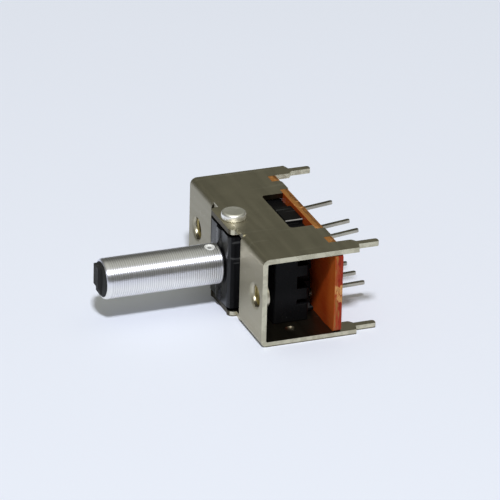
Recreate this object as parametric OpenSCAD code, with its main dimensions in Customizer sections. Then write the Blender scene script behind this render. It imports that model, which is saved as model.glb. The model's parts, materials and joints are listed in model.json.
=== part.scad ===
// Lever-operated slide switch: a folded metal bracket that holds a terminal board, a moulded
// slider with two bridging contacts, and a rocking lever that pivots on a rivet.
// X runs along the slide, Y from the lever (minus) to the terminals (plus), Z across the flanges.
// The origin is halfway between the two screw holes, on the outer face of the front plate.

/* [Bracket] */
// Length of the bracket along the slide
body_length = 30; // [29.6:0.2:36]
// Height over both flanges
body_height = 13.7; // [13.4:0.1:16]
// Thickness of the bracket's sheet metal
sheet = 0.75; // [0.6:0.05:0.85]
// Inside radius of the two folds
bend_inner = 0.25; // [0.15:0.05:0.35]
// From the front face to the edges that the terminal board sits against
board_seat = 11.05; // [10.9:0.05:12]
// From the front face to the near edge of the notch in each flange
notch_front = 7.65; // [7.2:0.05:7.9]
// Radius in the front corners of the flange notches
notch_corner = 0.6; // [0.2:0.1:1]

/* [Window and ears] */
// Width of the window that the lever passes through
window_width = 12; // [11.4:0.1:13]
// Width of the ears that carry the pivot rivet
ear_width = 8.3; // [7.6:0.1:9.4]
// How far the upper ear and the lever's front face stand in front of the front plate
ear_reach = 0.95; // [0.6:0.05:1.2]
// How far the lower ear stands in front of the front plate
lower_ear_reach = 0.65; // [0.4:0.05:1.2]
// Radius on the ears' front corners
ear_corner = 0.9; // [0.4:0.1:1.4]
// Depth of the relief cuts beside each ear
relief_depth = 0.35; // [0.2:0.05:0.55]

/* [Screw holes] */
// Distance between the two tapped holes
hole_spacing = 24; // [22.8:0.1:24.6]
// Bore of the tapped holes, before the thread
hole_bore = 3; // [2.4:0.1:3.2]
// Outside diameter of the collar drawn behind each hole
collar_dia = 3.5; // [3.4:0.05:4]
// Length of the collar behind the plate
collar_length = 0.9; // [0.8:0.1:1.3]
// Radius of the drawn-in mouth of each hole
lip_radius = 0.7; // [0.5:0.05:0.75]

/* [Legs and tongues] */
// Width of each solder leg before its shoulder
leg_width = 2.9; // [2.6:0.1:3.2]
// From the board's rear face to the shoulders
leg_reach = 2.4; // [1.8:0.1:3.5]
// Width of the pin at the end of each leg
leg_pin_width = 1.05; // [0.8:0.05:1.3]
// Length of that pin
leg_pin_length = 3.5; // [2.5:0.1:4.5]
// From the end of the bracket to the outer edge of the pin
leg_pin_inset = 1.15; // [0.8:0.05:1.3]
// Slope of the leg's shoulders
shoulder_slope = 0.35; // [0.1:0.05:0.6]
// Width of the slot between each leg and its tongue, where a land of the board sits
land_width = 1.95; // [1.5:0.05:2.2]
// Width of each tongue that holds the board
tongue_width = 3; // [2.6:0.1:3.1]
// How far the peened tongues stand behind the board
tongue_proud = 0.15; // [0.1:0.05:0.3]

/* [Terminal board] */
// Thickness of the laminate
board_thick = 1.2; // [1:0.1:1.6]
// Radius on the board's four corners
board_corner = 0.6; // [0.2:0.1:1]
// Play of the board in the cuts of the flanges
board_play = 0.04; // [0.02:0.01:0.08]

/* [Terminals] */
// Distance between neighbouring terminals, which is also the step of the switch
pitch = 3.4; // [3.3:0.02:3.5]
// Distance of each row from the inner face of its flange
row_inset = 2.05; // [1.9:0.05:2.3]
// Width of a terminal pin
pin_width = 0.6; // [0.5:0.05:0.8]
// Thickness of a terminal pin
pin_thick = 0.45; // [0.4:0.05:0.6]
// Length of the upper pins behind the board
upper_pin_length = 6.3; // [4:0.1:8]
// Length of the lower pins behind the board
lower_pin_length = 7.55; // [4:0.05:9]
// Upward splay of the upper pins, in degrees
upper_splay = 6; // [0:0.5:8]
// Upward splay of the lower pins, in degrees
lower_splay = 1.5; // [0:0.5:4]
// Diameter of the contact heads inside
head_dia = 2.3; // [1.8:0.1:2.5]
// Thickness of the contact heads
head_thick = 0.4; // [0.3:0.05:0.5]
// Diameter of the shank that passes through the board
shank_dia = 0.9; // [0.8:0.05:1]

/* [Lever] */
// From the front face back to the pivot
pivot_back = 1.15; // [1.1:0.05:1.4]
// Throw of the lever to each side, in degrees
lever_throw = 25; // [24.5:0.5:27]
// Width of the lever's front block
block_width = 8.2; // [7.4:0.1:8.6]
// Gap between the lever's front block and each ear
block_gap = 1.1; // [0.8:0.05:1.6]
// Radius on the block's front corners
block_corner = 1; // [0.5:0.1:1.6]
// Diameter of the pivot bosses
boss_dia = 3.9; // [3.6:0.1:4.2]
// Height of the pads that carry the bosses, over the front block
pad_rise = 0.4; // [0.2:0.05:0.6]
// Diameter of the moulded stem
stem_dia = 5.2; // [4.8:0.1:5.4]
// How far the stem's end stands out of the sleeve
stem_proud = 0.3; // [0.1:0.05:0.6]
// Width of the stub that the moulding gate leaves on the stem's end
stub_width = 1.9; // [1:0.1:2.4]
// How far the stub's lower edge lies under the middle of the stem
stub_below = 2.3; // [1.6:0.1:2.4]
// How far its upper edge lies over the middle
stub_above = 2.25; // [1.6:0.05:2.35]
// How far the whole part of the stub stands out of the stem's end
stub_proud = 0.55; // [0.3:0.05:0.8]
// How far its torn lower part stands out
stub_torn = 0.17; // [0.05:0.01:0.25]
// Diameter of the drive finger's round end
finger_dia = 2.4; // [2:0.1:2.6]
// Thickness of the finger's web
web_thick = 1.4; // [1:0.1:1.6]
// Gap between the drive finger and the pocket of each contact, in height
finger_gap = 0.7; // [0.6:0.05:1.2]

/* [Sleeve] */
// Outside diameter of the metal sleeve, which takes a knob
sleeve_dia = 6; // [5.8:0.1:6.4]
// Length of the sleeve
sleeve_length = 17.65; // [12:0.05:25]
// Gap between the sleeve and the lever's front face
sleeve_gap = 0.3; // [0.1:0.05:0.5]
// Length of the bevel at the sleeve's tip
tip_bevel_length = 0.6; // [0.3:0.05:1]
// Depth of the bevel at the sleeve's tip
tip_bevel = 0.3; // [0.1:0.05:0.35]
// Distance of the staking dimple from the sleeve's root
dimple_from_root = 1.35; // [1:0.05:3]
// Turn of the staking dimple round the sleeve from the top, in degrees
dimple_turn = 8; // [0:1:20]
// Depth of the staking dimple
dimple_depth = 0.25; // [0.1:0.05:0.3]

/* [Rivet] */
// Diameter of the rivet's shank
rivet_dia = 2.2; // [1.8:0.1:2.6]
// Diameter of the rivet's head
rivet_head = 3.65; // [3.4:0.05:4.2]
// Height of the rivet's head
rivet_head_height = 1.08; // [0.8:0.02:1.3]
// Radius round the top of the rivet's head
rivet_edge = 0.42; // [0.3:0.02:0.6]
// Bevel under the rivet's head
rivet_under = 0.12; // [0.05:0.01:0.2]
// Diameter of the tail, set flush in a countersink
rivet_tail = 3.2; // [2.9:0.1:3.4]
// Depth of the countersink
tail_depth = 0.45; // [0.3:0.05:0.5]

/* [Slider] */
// From each end of the bracket to the slider's end, with the slider in the middle
slider_inset = 5.1; // [4.7:0.1:5.3]
// From the front face to the slider, which leaves room for the screws' ends
slider_front = 3.8; // [3.7:0.05:4]
// Depth of the slider's full-height front part
slider_depth = 3.55; // [3.3:0.05:3.7]
// Width of the lugs that run in the flange notches
lug_width = 4.8; // [4.2:0.1:4.9]
// Depth of the lugs, from the terminal board forwards
lug_depth = 2.65; // [1.8:0.05:3]
// How far the lugs rise above the slider
lug_rise = 0.38; // [0.3:0.02:0.6]
// Step from the slider's full height down to its rear part in the middle
rear_step = 0.2; // [0.1:0.05:0.4]
// Radius on the slider's upright edges
slider_corner = 0.4; // [0.2:0.05:0.5]
// How far the end combs reach past the front part
comb_depth = 1.85; // [1.2:0.05:2.2]
// Length of each end comb along the slider
comb_length = 2.6; // [1.5:0.1:3]
// Height of the channel in the middle of each comb
channel_height = 1.95; // [1.6:0.05:2.4]
// Thickness of the ribs on both sides of the channel
rib_thick = 1.7; // [1.3:0.05:1.9]
// Width of the slots behind the ribs
comb_slot = 0.8; // [0.5:0.05:1]

/* [Contacts] */
// Thickness of the bridging contacts
clip_thick = 0.2; // [0.15:0.01:0.3]
// Width of the bridging contacts
clip_width = 2; // [1.6:0.1:2.2]
// Height of the bridging contacts' waves
clip_rise = 2; // [1.4:0.1:2.2]
// Gap between the contacts' crests and the heads
contact_gap = 0.03; // [0.02:0.01:0.06]

/* [Detent] */
// Diameter of the detent balls
ball_dia = 2; // [1.6:0.1:2.1]
// Radius of the round dimples that the balls drop into, in the lower flange
dimple_ball = 1.1; // [1:0.05:1.3]
// Depth of those dimples
dimple_drop = 0.4; // [0.2:0.05:0.5]
// Distance of each ball from its end of the slider
ball_inset = 1.4; // [1.3:0.05:1.8]
// Distance of the balls from the front of the slider
ball_back = 1.9; // [1.7:0.05:2.1]
// Diameter of the springs' wire
spring_wire = 0.22; // [0.16:0.02:0.26]
// Length of the springs
spring_length = 3; // [2.6:0.1:4]
// Number of turns of the springs
spring_turns = 5; // [4:1:7]

/* [Clearances] */
// Running gap between the slider and what guides it
slider_play = 0.12; // [0.06:0.01:0.14]
// Gap between the slider's lugs and the ends of the notches at full travel
stop_gap = 0.05; // [0.03:0.01:0.1]
// Gap between the lever's bosses and the ears
boss_play = 0.05; // [0.03:0.01:0.1]
// Radial gap of the lever on its rivet
pivot_play = 0.04; // [0.02:0.01:0.08]
// Gap between the drive finger and its slot
finger_play = 0.1; // [0.08:0.01:0.14]
// Gap between the turning lever and the slider's front
barrel_gap = 0.25; // [0.2:0.05:0.4]
// Gap between parts that are fixed in each other
fixed_play = 0.01; // [0.01:0.01:0.02]

/* [Hidden] */

nickel = "#9c978a";
laminate = "#8a4a22";
tin = "#b4b0a2";
aluminium = "#c9cbd0";
bright_rivet = "#bfbfbc";
black_plastic = "#1c1c1e";
bronze = "#b98a4a";
steel = "#a9adb2";
bare_brass = "#b9a566";

round_detail = 48;
small_detail = 24;
eps = 0.01;

half_length = body_length / 2;
half_height = body_height / 2;
inner_height = half_height - sheet;
row_height = inner_height - row_inset;
bend_outer = sheet + bend_inner;
fold_overlap = 0.3;

board_rear = board_seat + board_thick;
leg_inner = half_length - leg_width;
leg_shoulder = board_rear + leg_reach;
leg_tip = leg_shoulder + leg_pin_length;
leg_pin_outer = half_length - leg_pin_inset;
leg_pin_inner = leg_pin_outer - leg_pin_width;
leg_tip_bevel = leg_pin_width / 5;
tongue_outer = leg_inner - land_width;
tongue_inner = tongue_outer - tongue_width;
tongue_rear = board_rear + tongue_proud;
tongue_bevel = tongue_width / 6;
peen_drop = 0.2;

step_travel = pitch;
notch_half = lug_width / 2 + step_travel + stop_gap;
finger_arm = step_travel / sin(lever_throw);
finger_back = pivot_back + finger_arm;
finger_back_end = pivot_back + finger_arm * cos(lever_throw);
finger_slot_half = finger_dia / 2 + finger_play;
web_lean = web_thick / 2 / cos(lever_throw);
flare_start = finger_back_end - (finger_slot_half - finger_play - web_lean) / tan(lever_throw);
flare_front = (finger_back_end - slider_front) * tan(lever_throw) + web_lean + finger_play;
barrel_radius = slider_front - pivot_back - barrel_gap;

block_half_height = inner_height - block_gap;
sleeve_root = ear_reach + sleeve_gap;
sleeve_tip = sleeve_root + sleeve_length;
stem_tip = sleeve_tip + stem_proud;
stem_bevel = 0.25;
stub_tear_start = 0.9;
stub_tear_end = 1.5;
dimple_radius = 1;

slider_half = half_length - slider_inset;
slider_half_height = inner_height - slider_play;
slider_step = slider_front + slider_depth;
rear_half_height = slider_half_height - rear_step;
rear_half = slider_half - comb_length + slider_corner;
slot_start = channel_height / 2 + rib_thick;
lug_rear = board_seat - slider_play;
lug_front = lug_rear - lug_depth;
lug_half_height = slider_half_height + lug_rise;
head_face = board_seat - head_thick;
crest = head_face - contact_gap;
clip_floor = crest - clip_rise;
contact_proud = 0.35;
slider_rear = crest - contact_proud;
clip_foot = 0.45;
clip_half = pitch + clip_foot;
pocket_play = 0.1;
pocket_half = clip_half + pocket_play;
pocket_half_height = max(clip_width, head_dia) / 2 + pocket_play;
finger_half_height = row_height - pocket_half_height - finger_gap;

ball_offset = slider_half - ball_inset;
ball_place = slider_front + ball_back;
ball_radius = ball_dia / 2;
bore_play = 0.05;
ball_bore = ball_radius + bore_play;
ball_lift = 0.02;
ball_height = -inner_height + ball_radius + ball_lift;
coil_share = 0.66;
coil_radius = ball_radius * coil_share;
spring_foot = ball_height + fixed_play
    + sqrt(pow(ball_radius + spring_wire / 2, 2) - pow(coil_radius, 2));
spring_head = spring_foot + spring_length - spring_wire;
bore_top = spring_head + spring_wire / 2 + fixed_play;

terminal_places = [-1.5 * pitch, -0.5 * pitch, 0.5 * pitch, 1.5 * pitch];
root_width = 1.3;
root_height = 0.9;
root_thick = 0.35;

// A rectangle about the origin with rounded corners
module rounded_rectangle(width, height, radius) {
    square([width - 2 * radius, height], center = true);
    square([width, height - 2 * radius], center = true);
    for (x = [-1, 1], y = [-1, 1])
        translate([x * (width / 2 - radius), y * (height / 2 - radius)])
            circle(radius, $fn = small_detail);
}

// Lays an outline drawn in Y and Z along the X axis, from one X to another
module along_x(from, to) {
    translate([from, 0, 0]) rotate([90, 0, 90]) linear_extrude(to - from) children();
}

// Lays an outline drawn in X and Z along the Y axis, from one Y to another
module along_y(from, to) {
    translate([0, to, 0]) rotate([90, 0, 0]) linear_extrude(to - from) children();
}

// Lays an outline drawn in X and Y along the Z axis, from one Z to another
module along_z(from, to) {
    translate([0, 0, from]) linear_extrude(to - from) children();
}

// Turns a profile of radius and distance about an axis that points to plus Y
module turned_to_plus_y(detail) {
    rotate([-90, 0, 0]) rotate_extrude($fn = detail) children();
}

// Section of the sheet through the front plate and both folds, in Y and Z
module folded_section() {
    fold_height = half_height - bend_outer;
    difference() {
        union() {
            translate([0, -fold_height]) square([bend_outer, 2 * fold_height]);
            translate([bend_outer, -half_height]) square([fold_overlap, 2 * half_height]);
            for (side = [-1, 1])
                translate([bend_outer, side * fold_height]) circle(bend_outer, $fn = round_detail);
        }
        translate([sheet, -fold_height]) square([bend_outer, 2 * fold_height]);
        translate([bend_outer, -inner_height]) square([fold_overlap + 1, 2 * inner_height]);
        for (side = [-1, 1])
            translate([bend_outer, side * fold_height]) circle(bend_inner, $fn = small_detail);
    }
}

// Points of one half of a flange, from the window round to the middle of the rear edge
function flange_half() = [
    [window_width / 2, relief_depth],
    [window_width / 2, bend_outer],
    [half_length, bend_outer],
    [half_length, leg_shoulder],
    [leg_pin_outer, leg_shoulder + shoulder_slope],
    [leg_pin_outer, leg_tip - leg_tip_bevel],
    [leg_pin_outer - leg_tip_bevel, leg_tip],
    [leg_pin_inner + leg_tip_bevel, leg_tip],
    [leg_pin_inner, leg_tip - leg_tip_bevel],
    [leg_pin_inner, leg_shoulder + shoulder_slope],
    [leg_inner + leg_tip_bevel, leg_shoulder],
    [leg_inner, leg_shoulder - leg_tip_bevel],
    [leg_inner, board_seat],
    [tongue_outer, board_seat],
    [tongue_outer, tongue_rear - tongue_bevel / 2],
    [tongue_outer - tongue_bevel, tongue_rear],
    [tongue_inner, tongue_rear],
    [tongue_inner, board_seat]
];

function mirrored(points) = [for (i = [len(points) - 1 : -1 : 0]) [-points[i][0], points[i][1]]];

// Flat outline of one flange with its ear, notch, tongues and legs
module flange_outline(reach) {
    difference() {
        union() {
            polygon(concat(flange_half(), mirrored(flange_half())));
            translate([0, bend_outer / 2 - reach / 2])
                rounded_rectangle(ear_width, bend_outer + reach, ear_corner);
            translate([-ear_width / 2, relief_depth - eps])
                square([ear_width, bend_outer]);
        }
        translate([0, (notch_front + board_seat + 2) / 2])
            rounded_rectangle(2 * notch_half, board_seat + 2 - notch_front, notch_corner);
    }
}

// Mouth of a screw hole: a bore with a drawn-in rounded lip, from the front face backwards
module screw_hole_cut() {
    bore_radius = hole_bore / 2;
    turned_to_plus_y(round_detail) {
        translate([0, -1]) square([bore_radius, sheet + collar_length + 2]);
        difference() {
            translate([0, -1]) square([bore_radius + lip_radius, lip_radius + 1]);
            translate([bore_radius + lip_radius, lip_radius]) circle(lip_radius, $fn = round_detail);
        }
    }
}

// Folded bracket with ears, tongues, solder legs, screw holes and detent dimples
module bracket() {
    color(nickel) difference() {
        union() {
            along_x(window_width / 2, half_length) folded_section();
            along_x(-half_length, -window_width / 2) folded_section();
            for (side = [0, 1]) mirror([0, 0, side]) {
                along_z(inner_height, half_height)
                    flange_outline(side == 0 ? ear_reach : lower_ear_reach);
                for (end = [-1, 1])
                    translate([end * (tongue_inner + tongue_outer) / 2, 0, 0])
                        along_z(inner_height - peen_drop, inner_height + eps)
                            translate([-tongue_width / 4, board_rear + fixed_play])
                                square([tongue_width / 2, tongue_proud - fixed_play]);
            }
            for (end = [-1, 1]) translate([end * hole_spacing / 2, 0, 0])
                along_y(sheet / 2, sheet + collar_length) circle(d = collar_dia, $fn = round_detail);
        }
        for (end = [-1, 1]) translate([end * hole_spacing / 2, 0, 0]) screw_hole_cut();
        translate([0, pivot_back, -half_height - 1])
            cylinder(h = body_height + 2, r = rivet_dia / 2 + fixed_play, $fn = round_detail);
        translate([0, pivot_back, -half_height - eps])
            cylinder(h = tail_depth + eps, r1 = rivet_tail / 2 + fixed_play,
                r2 = rivet_dia / 2 + fixed_play, $fn = round_detail);
        for (end = [-1, 1], step = [-1, 0, 1])
            translate([end * ball_offset + step * step_travel, ball_place,
                    -inner_height - dimple_drop + dimple_ball])
                sphere(dimple_ball, $fn = round_detail);
    }
}

// Outline of the terminal board in X and Z
module board_outline() {
    difference() {
        union() {
            rounded_rectangle(body_length, 2 * (inner_height - board_play), board_corner);
            square([2 * (tongue_inner - board_play), body_height], center = true);
            for (end = [-1, 1])
                translate([end * (tongue_outer + leg_inner) / 2, 0])
                    square([land_width - 2 * board_play, body_height], center = true);
        }
        for (x = terminal_places, side = [-1, 1])
            translate([x, side * row_height])
                circle(d = shank_dia + 2 * fixed_play, $fn = small_detail);
    }
}

module terminal_board() {
    color(laminate) along_y(board_seat, board_rear) board_outline();
}

// Flat pin with a bevelled tip, standing on the board's rear face
module terminal_pin(pin_length, splay) {
    tip = pin_width / 4;
    half = pin_width / 2;
    rotate([splay, 0, 0]) along_z(-pin_thick / 2, pin_thick / 2) polygon([
        [-half, 0], [half, 0], [half, pin_length - tip], [half - tip, pin_length],
        [tip - half, pin_length], [-half, pin_length - tip]
    ]);
}

// Terminal: contact head inside the board, shank, riveted root and pin behind it
module terminal(place, side, pin_length, splay) {
    rim = head_thick / 3;
    color(tin) translate([terminal_places[place], 0, side * row_height]) {
        translate([0, head_face, 0]) turned_to_plus_y(small_detail) polygon([
            [0, 0], [head_dia / 2 - rim, 0], [head_dia / 2, rim],
            [head_dia / 2, head_thick], [0, head_thick]
        ]);
        along_y(head_face + rim, board_rear + root_thick) circle(d = shank_dia, $fn = small_detail);
        along_y(board_rear, board_rear + root_thick) square([root_width, root_height], center = true);
        translate([0, board_rear + root_thick / 2, 0])
            terminal_pin(pin_length - root_thick / 2, splay);
    }
}

module upper_terminal(place) {
    terminal(place, 1, upper_pin_length, upper_splay);
}

module lower_terminal(place) {
    terminal(place, -1, lower_pin_length, lower_splay);
}

// Pivot rivet: rounded head on the upper ear, shank, and a tail set flush in the lower ear
module pivot_rivet() {
    shank = rivet_dia / 2;
    head = rivet_head / 2;
    flat = head - rivet_edge;
    top = half_height + rivet_head_height;
    color(bright_rivet) translate([0, pivot_back, 0]) {
        rotate_extrude($fn = round_detail) {
            polygon([
                [0, half_height], [head - rivet_under, half_height], [head, half_height + rivet_under],
                [head, top - rivet_edge], [flat, top - rivet_edge], [flat, top], [0, top]
            ]);
            translate([flat, top - rivet_edge]) circle(rivet_edge, $fn = round_detail);
        }
        translate([0, 0, -half_height]) cylinder(h = body_height + eps, r = shank, $fn = round_detail);
        translate([0, 0, -half_height])
            cylinder(h = tail_depth, r1 = rivet_tail / 2, r2 = shank, $fn = round_detail);
    }
}

// Moulded lever: front block and barrel round the rivet, stem for the sleeve, drive finger
module lever() {
    block_depth = pivot_back + ear_reach;
    color(black_plastic) difference() {
        union() {
            along_z(-block_half_height, block_half_height) {
                translate([0, (pivot_back - ear_reach) / 2]) intersection() {
                    translate([0, block_depth / 2])
                        rounded_rectangle(block_width, 2 * block_depth, block_corner);
                    square([block_width, block_depth], center = true);
                }
                translate([0, pivot_back]) circle(barrel_radius, $fn = round_detail);
            }
            along_z(-block_half_height - pad_rise, block_half_height + pad_rise)
                translate([-boss_dia / 2, -ear_reach]) square([boss_dia, block_depth]);
            translate([0, pivot_back, -inner_height + boss_play])
                cylinder(h = 2 * (inner_height - boss_play), d = boss_dia, $fn = round_detail);
            translate([0, -ear_reach + eps, 0]) rotate([90, 0, 0])
                cylinder(h = stem_tip - ear_reach - stem_bevel + eps, d = stem_dia,
                    $fn = round_detail);
            translate([0, -stem_tip + stem_bevel, 0]) rotate([90, 0, 0])
                cylinder(h = stem_bevel, d1 = stem_dia, d2 = stem_dia - 2 * stem_bevel,
                    $fn = round_detail);
            along_z(-finger_half_height, finger_half_height) {
                translate([-web_thick / 2, pivot_back]) square([web_thick, finger_arm]);
                translate([0, finger_back]) circle(d = finger_dia, $fn = round_detail);
            }
            along_x(-stub_width / 2, stub_width / 2) polygon([
                [-stem_tip + stem_bevel, -stub_below + stem_bevel],
                [-stem_tip - stub_torn, -stub_below + stem_bevel],
                [-stem_tip - stub_torn, -stub_tear_end],
                [-stem_tip - stub_proud, -stub_tear_start],
                [-stem_tip - stub_proud, stub_above],
                [-stem_tip + stem_bevel, stub_above]
            ]);
        }
        translate([0, pivot_back, -half_height])
            cylinder(h = body_height, r = rivet_dia / 2 + pivot_play, $fn = round_detail);
    }
}

// Metal sleeve on the stem, with a bevelled tip and a staking dimple near its root
module lever_sleeve() {
    outer = sleeve_dia / 2;
    bore = stem_dia / 2 + fixed_play;
    root_bevel = 0.15;
    color(aluminium) difference() {
        translate([0, -sleeve_tip, 0]) turned_to_plus_y(round_detail) polygon([
            [bore, 0], [outer - tip_bevel, 0], [outer, tip_bevel_length],
            [outer, sleeve_length - root_bevel], [outer - root_bevel, sleeve_length],
            [bore, sleeve_length]
        ]);
        rotate([0, dimple_turn, 0])
            translate([0, -sleeve_root - dimple_from_root, outer - dimple_depth + dimple_radius])
                sphere(dimple_radius, $fn = round_detail);
    }
}

// Outline of the slider's finger slot: straight at the rear and flared towards the lever
module finger_slot() {
    polygon([
        [-flare_front, slider_front - eps], [flare_front, slider_front - eps],
        [finger_slot_half, flare_start], [finger_slot_half, slider_rear + 2],
        [-finger_slot_half, slider_rear + 2], [-finger_slot_half, flare_start]
    ]);
}

// Moulded slider that carries the contacts, the detent balls and the lugs
module slider() {
    comb_rear = slider_step + comb_depth;
    color(black_plastic) difference() {
        union() {
            along_z(-slider_half_height, slider_half_height)
                translate([0, slider_front + slider_depth / 2])
                    rounded_rectangle(2 * slider_half, slider_depth, slider_corner);
            along_z(-rear_half_height, rear_half_height)
                translate([-rear_half, slider_step - slider_corner])
                    square([2 * rear_half, slider_rear - slider_step + slider_corner]);
            along_z(-lug_half_height, lug_half_height)
                translate([-lug_width / 2, lug_front])
                    square([lug_width, lug_rear - lug_front]);
            along_z(-slider_half_height, slider_half_height) for (end = [-1, 1])
                translate([end * (slider_half - comb_length / 2), (slider_front + comb_rear) / 2])
                    rounded_rectangle(comb_length, comb_rear - slider_front, slider_corner);
        }
        along_z(-finger_half_height - finger_play, finger_half_height + finger_play) finger_slot();
        for (end = [0, 1]) mirror([end, 0, 0]) translate([slider_half - comb_length, slider_step, 0]) {
            comb_cut(-channel_height / 2, channel_height / 2);
            comb_cut(slot_start, slot_start + comb_slot);
            comb_cut(-slot_start - comb_slot, -slot_start);
        }
        for (side = [-1, 1])
            translate([-pocket_half, clip_floor, side * row_height - pocket_half_height])
                cube([2 * pocket_half, board_seat - clip_floor, 2 * pocket_half_height]);
        for (side = [-1, 1])
            translate([ball_offset * side, ball_place, -half_height])
                cylinder(h = half_height + bore_top, r = ball_bore, $fn = round_detail);
    }
}

// Cut through an end comb, between two heights
module comb_cut(from, to) {
    translate([-eps, 0, from]) cube([comb_length + 1, slider_rear - slider_step + 1, to - from]);
}

// Height of the middle of a bridging contact's strip, at a distance x from its centre
function clip_wave(x) = abs(x) > pitch ? 0
    : (clip_rise - clip_thick) * (1 - cos(360 * x / pitch)) / 2;

// Bridging contact: a waved strip whose two crests stand one pitch apart
module bridging_contact(side) {
    points_across = 32;
    places = [for (i = [0 : points_across]) -clip_half + 2 * clip_half * i / points_across];
    front = [for (x = places) [x, clip_wave(x)]];
    back = [for (i = [points_across : -1 : 0]) [places[i], clip_wave(places[i]) + clip_thick]];
    color(bronze) translate([0, clip_floor, 0])
        along_z(side * row_height - clip_width / 2, side * row_height + clip_width / 2)
            polygon(concat(front, back));
}

module detent_ball(end) {
    color(steel) translate([end * ball_offset, ball_place, ball_height])
        sphere(ball_radius, $fn = small_detail);
}

// Points of one ring of the spring's wire, at an angle along the coil
function wire_ring(angle, height, sides) = [
    for (s = [0 : sides - 1])
        let (reach = coil_radius + spring_wire / 2 * cos(360 * s / sides))
            [reach * cos(angle), reach * sin(angle), height + spring_wire / 2 * sin(360 * s / sides)]
];

module detent_spring(end) {
    sides = 6;
    rings_per_turn = 14;
    rings = rings_per_turn * spring_turns;
    rise = spring_head - spring_foot;
    points = [for (i = [0 : rings])
        each wire_ring(360 * i / rings_per_turn, spring_foot + rise * i / rings, sides)];
    walls = [for (i = [0 : rings - 1], s = [0 : sides - 1])
        let (next = (s + 1) % sides)
            [i * sides + s, i * sides + next, (i + 1) * sides + next, (i + 1) * sides + s]];
    first_end = [for (s = [sides - 1 : -1 : 0]) s];
    last_end = [for (s = [0 : sides - 1]) rings * sides + s];
    color(steel) translate([end * ball_offset, ball_place, 0])
        polyhedron(points, concat(walls, [first_end, last_end]));
}

bracket();
terminal_board();
upper_terminal(0);  // upper_terminal_1
upper_terminal(2);  // upper_terminal_3
upper_terminal(3);  // upper_terminal_4
lower_terminal(0);  // lower_terminal_1
lower_terminal(1);  // lower_terminal_2
lower_terminal(2);  // lower_terminal_3
lower_terminal(3);  // lower_terminal_4
pivot_rivet();
lever();
lever_sleeve();
slider();
bridging_contact(1);  // upper_contact
bridging_contact(-1);  // lower_contact
detent_ball(-1);  // detent_ball_left
detent_ball(1);  // detent_ball_right
detent_spring(-1);  // detent_spring_left
detent_spring(1);  // detent_spring_right
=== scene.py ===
"""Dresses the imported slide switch: sheet bracket, laminate board, ringed sleeve, black mouldings.

Lengths are in metres, apart from those that a comment gives in millimetres. A new surface is
worked out on a grid with numpy, and its function says the formula in words.
"""

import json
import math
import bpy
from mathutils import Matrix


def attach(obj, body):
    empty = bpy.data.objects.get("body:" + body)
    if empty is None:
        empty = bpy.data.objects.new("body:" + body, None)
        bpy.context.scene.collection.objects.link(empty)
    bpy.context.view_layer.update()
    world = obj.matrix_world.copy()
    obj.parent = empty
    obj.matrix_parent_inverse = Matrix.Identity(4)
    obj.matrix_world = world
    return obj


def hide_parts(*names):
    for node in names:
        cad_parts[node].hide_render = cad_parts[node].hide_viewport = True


bl_info = {
    "name": "Slide switch",
    "version": (1, 0, 0),
    "blender": (4, 5, 0),
    "location": "3D View > Sidebar > Slide switch",
    "description": "Builds the visual model of a lever slide switch round its packed frame",
    "category": "Object",
}

import bmesh
import bpy
import numpy as np
from bpy.props import FloatProperty, FloatVectorProperty, PointerProperty
from mathutils import Euler, Matrix

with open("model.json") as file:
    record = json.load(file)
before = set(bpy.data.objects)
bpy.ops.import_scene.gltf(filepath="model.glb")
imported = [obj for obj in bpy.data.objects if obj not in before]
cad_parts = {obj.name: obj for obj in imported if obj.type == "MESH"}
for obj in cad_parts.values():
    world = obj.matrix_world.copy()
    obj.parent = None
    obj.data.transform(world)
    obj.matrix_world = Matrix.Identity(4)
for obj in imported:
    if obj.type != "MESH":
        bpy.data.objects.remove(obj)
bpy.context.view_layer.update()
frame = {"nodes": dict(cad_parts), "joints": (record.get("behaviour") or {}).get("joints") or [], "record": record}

MM = 0.001
TERMINALS = sorted(name for name in frame["nodes"] if "_terminal_" in name)
LAMP_PLACE = (1.135, -0.392, 1.6)
LAMP_SIZE = 0.2
LAMP_COLOUR = (0.96, 0.98, 1.0)


# Sizes read from the frame


def node_points(name):
    """All vertices of a CAD node as an array of x, y, z rows."""
    mesh = frame["nodes"][name].data
    points = np.empty(len(mesh.vertices) * 3)
    mesh.vertices.foreach_get("co", points)
    return points.reshape(-1, 3)


def sleeve_sizes():
    """Outer and inner radius of the sleeve, and its root and tip along Y."""
    points = node_points("lever_sleeve")
    reach = np.hypot(points[:, 0], points[:, 2])
    return reach.max(), reach.min(), points[:, 1].max(), points[:, 1].min()


def reach_of(name):
    """How far a node reaches from the middle along X, Y and Z."""
    return np.abs(node_points(name)).max(axis=0)


SLEEVE_RADIUS, STEM_RADIUS, SLEEVE_ROOT, SLEEVE_TIP = sleeve_sizes()
HALF_HEIGHT = reach_of("bracket")[2]
RIVET_TOP = reach_of("pivot_rivet")[2]
SLIDER_TOP = reach_of("slider")[2]
BOARD_END = reach_of("terminal_board")[0]
BOARD_DEPTHS = node_points("terminal_board")[:, 1]
BOARD_FRONT, BOARD_REAR = BOARD_DEPTHS.min(), BOARD_DEPTHS.max()
PIVOT = next(joint["pos_m"] for joint in frame["joints"] if joint["name"] == "lever_rock")
SCREWS = next(mount["dims"] for mount in frame["record"]["mounts"] if mount["name"] == "panel_screws")
HOLE_OFFSET = SCREWS["spacing_x_mm"] / 2 * MM
HOLE_RADIUS = SCREWS["hole_r_mm"] * MM

# Sizes of the source that the frame doesn't name

INNER_HEIGHT = HALF_HEIGHT - 0.75 * MM
PLATE_REAR = 1.0 * MM
NOTCH_FRONT = 3.0 * MM
COLLAR_RADIUS, COLLAR_REAR = 2.6 * MM, 2.2 * MM
LUG_HALF = 2.4 * MM
RIVET_SHANK = 1.1 * MM


# Mesh making


def linked(name, data):
    """An object that shows a mesh, a lamp or a camera, in the scene."""
    made = bpy.data.objects.new(name, data)
    bpy.context.scene.collection.objects.link(made)
    return made


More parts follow.
